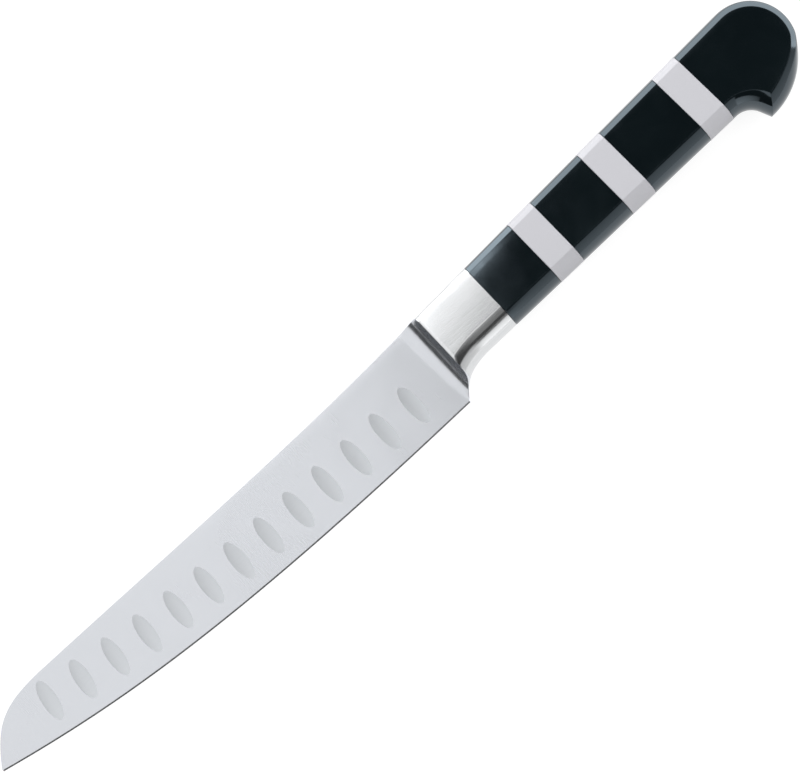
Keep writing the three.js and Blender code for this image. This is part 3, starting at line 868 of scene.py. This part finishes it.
def pommel_ring(front_x, step):
    """One ring of the pommel, at step number step of the rims."""
    start_y, start_z = BELLY_RIM[step]
    end_y, end_z = back_line(front_x, BACK_RIM[step, 0]), BACK_RIM[step, 1]
    start = leaning(front_x, np.array([(start_y, 0)]))[0, :2]
    end = leaning(front_x, np.array([(end_y, 0)]))[0, :2]
    hook = hook_path(start, start_y)
    ray = hook[-1] - UNDERSIDE
    under = np.linspace(np.arctan2(ray[1], ray[0]), HANDOVER, UNDERSIDE_POINTS)[1:]
    butt = np.linspace(HANDOVER, BUTT_TOP, BUTT_POINTS)[1:]
    under_rim, upper_rim = butt_rim(under, step), butt_rim(butt, step)
    outline = np.vstack((
        hook,
        arc_points(UNDERSIDE, UNDERSIDE_RADIUS - under_rim[:, 0], under),
        arc_points(BUTT, BUTT_RADIUS - upper_rim[:, 0], butt),
        end,
    ))
    heights = np.concatenate((np.full(HOOK_POINTS, start_z), under_rim[:, 1], upper_rim[:, 1], [end_z]))
    return np.column_stack((outline, heights))


def pommel_side(front_x, side):
    """The skin of one half of the pommel, with its flat side."""
    rings = [pommel_ring(front_x, step) * (1, 1, side) for step in range(len(BACK_RIM))]
    along = len(rings[0])
    faces = []
    for i in range(len(rings) - 1):
        for j in range(along - 1):
            a, b = i * along + j, (i + 1) * along + j
            faces.append((a, a + 1, b + 1, b))
    faces.append(tuple(range((len(rings) - 1) * along, len(rings) * along)))
    return np.vstack(rings), faces


def make_pommel(finish):
    front = JOINT_POMMEL + BOND_GAP / 2
    skin_x = front + SEAM_BREAK
    plug_x = JOINT_POMMEL - SPIGOT_REACH
    nose = rod_section(directions(handle_loop(front)), NOSE_DIAMETER)
    inner = loft(
        [
            handle_loop(skin_x),
            handle_loop(front, SEAM_BREAK),
            handle_loop(front, SPIGOT_INSET),
            handle_loop(plug_x, SPIGOT_INSET),
            leaning(plug_x, nose),
            upright(STUD_END_X + NOSE_TIP_GAP, nose),
        ],
        last_cap=True,
    )
    skin = joined(pommel_side(skin_x, 1), pommel_side(skin_x, -1), inner)
    return make_piece("butt_cap", skin, [finish])


# Finishes


def new_group(name, inputs, output):
    group = bpy.data.node_groups.new(name, "ShaderNodeTree")
    for socket, kind in inputs:
        group.interface.new_socket(socket, in_out="INPUT", socket_type=kind)
    group.interface.new_socket(output, in_out="OUTPUT", socket_type="NodeSocketFloat")
    return group, group.nodes.new("NodeGroupInput"), group.nodes.new("NodeGroupOutput")


def grinding_lines_group():
    """Streaks of an abrasive belt: noise drawn out along one axis by its scales."""
    inputs = (("Vector", "NodeSocketVector"), ("Scales", "NodeSocketVector"))
    group, entry, leave = new_group("grinding_lines", inputs, "Lines")
    stretch = group.nodes.new("ShaderNodeVectorMath")
    stretch.operation = "MULTIPLY"
    noise = group.nodes.new("ShaderNodeTexNoise")
    noise.inputs["Scale"].default_value = 1
    noise.inputs["Detail"].default_value = 3
    noise.inputs["Roughness"].default_value = 0.6
    group.links.new(entry.outputs["Vector"], stretch.inputs[0])
    group.links.new(entry.outputs["Scales"], stretch.inputs[1])
    group.links.new(stretch.outputs[0], noise.inputs["Vector"])
    group.links.new(noise.outputs[0], leave.inputs["Lines"])
    return group


def handling_marks_group():
    """Soft blotches that hands and cloths leave on a polished surface."""
    inputs = (("Vector", "NodeSocketVector"), ("Scale", "NodeSocketFloat"))
    group, entry, leave = new_group("handling_marks", inputs, "Marks")
    noise = group.nodes.new("ShaderNodeTexNoise")
    noise.inputs["Detail"].default_value = 4
    noise.inputs["Distortion"].default_value = 0.8
    contrast = group.nodes.new("ShaderNodeMapRange")
    contrast.inputs["From Min"].default_value = 0.4
    contrast.inputs["From Max"].default_value = 0.7
    group.links.new(entry.outputs["Vector"], noise.inputs["Vector"])
    group.links.new(entry.outputs["Scale"], noise.inputs["Scale"])
    group.links.new(noise.outputs[0], contrast.inputs["Value"])
    group.links.new(contrast.outputs[0], leave.inputs["Marks"])
    return group


GRINDING_LINES = grinding_lines_group()
HANDLING_MARKS = handling_marks_group()


class Finish:
    """A material under way: its Principled shader and the few nodes that drive it."""

    def __init__(self, name, **constants):
        self.material = bpy.data.materials.new(name)
        self.material.use_nodes = True
        self.tree = self.material.node_tree
        self.shader = self.tree.nodes["Principled BSDF"]
        self.place = self.tree.nodes.new("ShaderNodeTexCoord").outputs["Object"]
        for socket, value in constants.items():
            self.shader.inputs[socket.replace("_", " ")].default_value = value

    def link(self, source, target):
        self.tree.links.new(source, target)

    def lines(self, scales):
        node = self.tree.nodes.new("ShaderNodeGroup")
        node.node_tree = GRINDING_LINES
        node.inputs["Scales"].default_value = scales
        self.link(self.place, node.inputs["Vector"])
        return node.outputs["Lines"]

    def marks(self, scale):
        node = self.tree.nodes.new("ShaderNodeGroup")
        node.node_tree = HANDLING_MARKS
        node.inputs["Scale"].default_value = scale
        self.link(self.place, node.inputs["Vector"])
        return node.outputs["Marks"]

    def span(self, value, low, high):
        node = self.tree.nodes.new("ShaderNodeMapRange")
        node.inputs["To Min"].default_value = low
        node.inputs["To Max"].default_value = high
        self.link(value, node.inputs["Value"])
        return node.outputs["Result"]

    def plus(self, first, second):
        node = self.tree.nodes.new("ShaderNodeMath")
        node.operation = "ADD"
        self.link(first, node.inputs[0])
        self.link(second, node.inputs[1])
        return node.outputs[0]

    def colour(self, value, dark, light):
        node = self.tree.nodes.new("ShaderNodeMix")
        node.data_type = "RGBA"
        node.inputs["A"].default_value = (*dark, 1)
        node.inputs["B"].default_value = (*light, 1)
        self.link(value, node.inputs["Factor"])
        self.link(node.outputs["Result"], self.shader.inputs["Base Color"])

    def roughness(self, value):
        self.link(value, self.shader.inputs["Roughness"])

    def bump(self, height, distance, strength):
        node = self.tree.nodes.new("ShaderNodeBump")
        node.inputs["Distance"].default_value = distance
        node.inputs["Strength"].default_value = strength
        self.link(height, node.inputs["Height"])
        self.link(node.outputs["Normal"], self.shader.inputs["Normal"])


def ground_steel():
    """The blade's faces, ground across from spine to edge."""
    finish = Finish("cross_ground_steel", Metallic=1)
    lines = finish.lines((9000, 260, 260))
    cloth = finish.marks(60)
    finish.colour(lines, (0.664, 0.683, 0.72), (0.734, 0.753, 0.79))
    finish.roughness(finish.plus(finish.span(lines, 0.2, 0.28), finish.span(cloth, 0, 0.04)))
    finish.bump(lines, MARK_DEPTH, 0.1)
    return finish.material


def hollow_steel():
    finish = Finish("hollow_ground_steel", Metallic=1)
    lines = finish.lines((260, 5000, 260))
    finish.colour(lines, (0.705, 0.73, 0.76), (0.775, 0.8, 0.83))
    finish.roughness(finish.span(lines, 0.42, 0.5))
    return finish.material


def whetted_steel():
    finish = Finish("whetted_edge_steel", Metallic=1)
    lines = finish.lines((14000, 500, 500))
    finish.colour(lines, (0.6, 0.61, 0.62), (0.7, 0.71, 0.72))
    finish.roughness(finish.span(lines, 0.14, 0.22))
    return finish.material


def bolster_steel():
    finish = Finish("polished_bolster_steel", Metallic=1)
    lines = finish.lines((150, 2600, 2600))
    cloth = finish.marks(90)
    finish.colour(lines, (0.6, 0.61, 0.62), (0.72, 0.73, 0.74))
    finish.roughness(finish.plus(finish.span(lines, 0.11, 0.17), finish.span(cloth, 0, 0.03)))
    finish.bump(lines, MARK_DEPTH, 0.12)
    return finish.material


def band_steel():
    finish = Finish("blasted_band_steel", Metallic=0.03)
    grain = finish.lines((9000, 9000, 9000))
    finish.colour(grain, (0.65, 0.65, 0.69), (0.735, 0.735, 0.775))
    finish.roughness(finish.span(grain, 0.36, 0.46))
    finish.bump(grain, GRAIN_DEPTH, 0.3)
    return finish.material


def black_resin():
    bluish = (0.72, 0.88, 1, 1)
    finish = Finish("black_gloss_resin", IOR=1.6, Specular_IOR_Level=0.8, Specular_Tint=bluish)
    ripple = finish.marks(140)
    dust = finish.marks(30)
    finish.colour(dust, (0.0002, 0.0025, 0.0035), (0.0005, 0.0035, 0.0045))
    finish.roughness(finish.plus(finish.span(ripple, 0.06, 0.09), finish.span(dust, 0, 0.03)))
    finish.bump(ripple, MARK_DEPTH, 0.1)
    return finish.material


def plain_steel():
    finish = Finish("turned_fastener_steel", Metallic=1)
    lines = finish.lines((9000, 400, 400))
    finish.colour(lines, (0.5, 0.51, 0.52), (0.6, 0.61, 0.62))
    finish.roughness(finish.span(lines, 0.3, 0.45))
    return finish.material


# Floor, light and camera


def pale_floor():
    """Matt and pale, with a glow that shows to the camera and in reflections but lights nothing."""
    material = bpy.data.materials.new("pale_floor")
    material.use_nodes = True
    nodes, link = material.node_tree.nodes, material.node_tree.links.new
    nodes.clear()
    path = nodes.new("ShaderNodeLightPath")
    seen = nodes.new("ShaderNodeMath")
    seen.operation = "MAXIMUM"
    link(path.outputs["Is Camera Ray"], seen.inputs[0])
    link(path.outputs["Is Glossy Ray"], seen.inputs[1])
    level = nodes.new("ShaderNodeMath")
    level.operation = "MULTIPLY"
    level.inputs[1].default_value = FLOOR_GLOW
    link(seen.outputs[0], level.inputs[0])
    glow = nodes.new("ShaderNodeEmission")
    link(level.outputs[0], glow.inputs["Strength"])
    matt = nodes.new("ShaderNodeBsdfDiffuse")
    matt.inputs["Color"].default_value = (FLOOR_PALENESS, FLOOR_PALENESS, FLOOR_PALENESS, 1)
    both = nodes.new("ShaderNodeAddShader")
    link(glow.outputs[0], both.inputs[0])
    link(matt.outputs[0], both.inputs[1])
    out = nodes.new("ShaderNodeOutputMaterial")
    link(both.outputs[0], out.inputs["Surface"])
    return material


def make_floor():
    half = FLOOR_SIZE / 2
    z = CAD_BOX[0].z - FLOOR_DROP
    mesh = bpy.data.meshes.new("floor")
    corners = [(-half, -half, z), (half, -half, z), (half, half, z), (-half, half, z)]
    mesh.from_pydata(corners, [], [(0, 1, 2, 3)])
    mesh.materials.append(pale_floor())
    floor = bpy.data.objects.new("floor", mesh)
    bpy.context.scene.collection.objects.link(floor)


def softbox(name, centre, size, facing, level, spread=OPEN_SPREAD):
    """A flat lamp. Its level is how bright its middle looks."""
    lamp = bpy.data.lights.new(name, "AREA")
    lamp.shape = "RECTANGLE"
    lamp.size, lamp.size_y = size[0] * MM, size[1] * MM
    lamp.spread = radians(spread)
    half = lamp.spread / 2
    narrowing = 1 if spread == OPEN_SPREAD else 1 - half / tan(half)
    lamp.energy = level * narrowing * pi * lamp.size * lamp.size_y
    box = bpy.data.objects.new(name, lamp)
    box.location = placed(centre)
    box.rotation_euler = Vector(facing).to_track_quat("-Z", "Y").to_euler()
    bpy.context.scene.collection.objects.link(box)


def overhead(name, low, high, level, height=LAMP_HEIGHT):
    """A flat lamp over the knife, between two corners."""
    centre = ((low[0] + high[0]) / 2, (low[1] + high[1]) / 2, height)
    softbox(name, centre, (high[0] - low[0], high[1] - low[1]), (0, 0, -1), level)


def standing(name, from_x, to_x, wall_y, level, top=WALL_TOP, spread=OPEN_SPREAD):
    """A flat lamp upright on the floor before or behind the knife, and facing it."""
    centre = ((from_x + to_x) / 2, wall_y, top / 2)
    facing = (0, -1 if wall_y > 0 else 1, 0)
    softbox(name, centre, (to_x - from_x, top), facing, level, spread)


def make_light():
    world = bpy.data.worlds.new("studio")
    world.use_nodes = True
    shade = world.node_tree.nodes["Background"]
    shade.inputs["Color"].default_value = (WORLD_LEVEL, WORLD_LEVEL, WORLD_LEVEL, 1)
    bpy.context.scene.world = world
    overhead("light_over_tip", (-1200, -280), (-120, 800), 0.945)
    overhead("light_over_heel", (-120, -280), (-30, 800), 1.05)
    overhead("light_before_tip", (-1200, -500), (-300, -280), 0.85)
    overhead("light_over_bolster", (-30, -40), (28, 800), 0.54)
    overhead("light_before_bolster", (-30, -150), (10, -40), 1.25)
    overhead("dim_before_bolster", (-100, -600), (28, -150), 0.24)
    overhead("bright_spot", (-60, 24), (28, 150), 1.23, SPOT_HEIGHT)
    overhead("corner_glow", (28, 46), (44, 160), 4.0, SPOT_HEIGHT)
    overhead("light_over_butt", (300, -280), (900, 800), 0.9)
    overhead("light_behind_handle", (28, 85), (300, 800), 0.34)
    overhead("light_before_handle", (40, -150), (300, -75), 1.0)
    standing("light_on_heel", -700, 30, FRONT_WALL, 1.5, HEEL_LIGHT_TOP, spread=110)
    standing("light_on_belly", 30, 1100, FRONT_WALL, 0.82, spread=140)
    softbox("light_on_butt", (900, 50, WALL_TOP / 2), (1500, WALL_TOP), (-1, 0, 0), 3.2)
    standing("light_on_spine", -900, -20, BACK_WALL, 0.95)
    standing("light_on_back", -20, 900, BACK_WALL, 3.25)
    standing("back_glow", -20, 50, GLOW_WALL, 1.5)


def make_camera():
    lens = bpy.data.cameras.new("photo_camera")
    lens.lens, lens.sensor_width = LENS, SENSOR
    distance = PHOTO_WIDTH * LENS / SENSOR
    camera = bpy.data.objects.new("photo_camera", lens)
    camera.location = placed((*PHOTO_CENTRE, distance))
    camera.rotation_euler = (0, 0, radians(-PHOTO_TURN))
    bpy.context.scene.collection.objects.link(camera)
    bpy.context.scene.camera = camera


# The knife


def fit(piece, node):
    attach(piece, "root")
    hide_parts(node)


def make_knife():
    blade = make_forging([ground_steel(), whetted_steel(), bolster_steel()])
    grind_hollows(blade, hollow_steel())
    fit(blade, "forged_blade")
    resin, steel = black_resin(), band_steel()
    front = make_grip("front_grip", 0, JOINT_FRONT, resin, plugged_front=False)
    fit(front, "front_grip_segment")
    fit(make_band("front_band", JOINT_FRONT, steel), "front_ferrule")
    second = make_grip("second_grip", JOINT_SECOND, JOINT_MIDDLE, resin)
    fit(second, "second_grip_segment")
    fit(make_band("middle_band", JOINT_MIDDLE, steel), "middle_ferrule")
    third = make_grip("third_grip", JOINT_THIRD, JOINT_REAR, resin, holds_nut=True)
    fit(third, "third_grip_segment")
    fit(make_band("rear_band", JOINT_REAR, steel), "rear_ferrule")
    fit(make_pommel(resin), "pommel")
    fastener = plain_steel()
    for node in ("tang_washer", "tang_nut"):
        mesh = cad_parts[node].data
        mesh.materials.clear()
        mesh.materials.append(fastener)


make_camera()
make_light()
make_floor()
make_knife()
bpy.context.scene.view_settings.view_transform = "Standard"
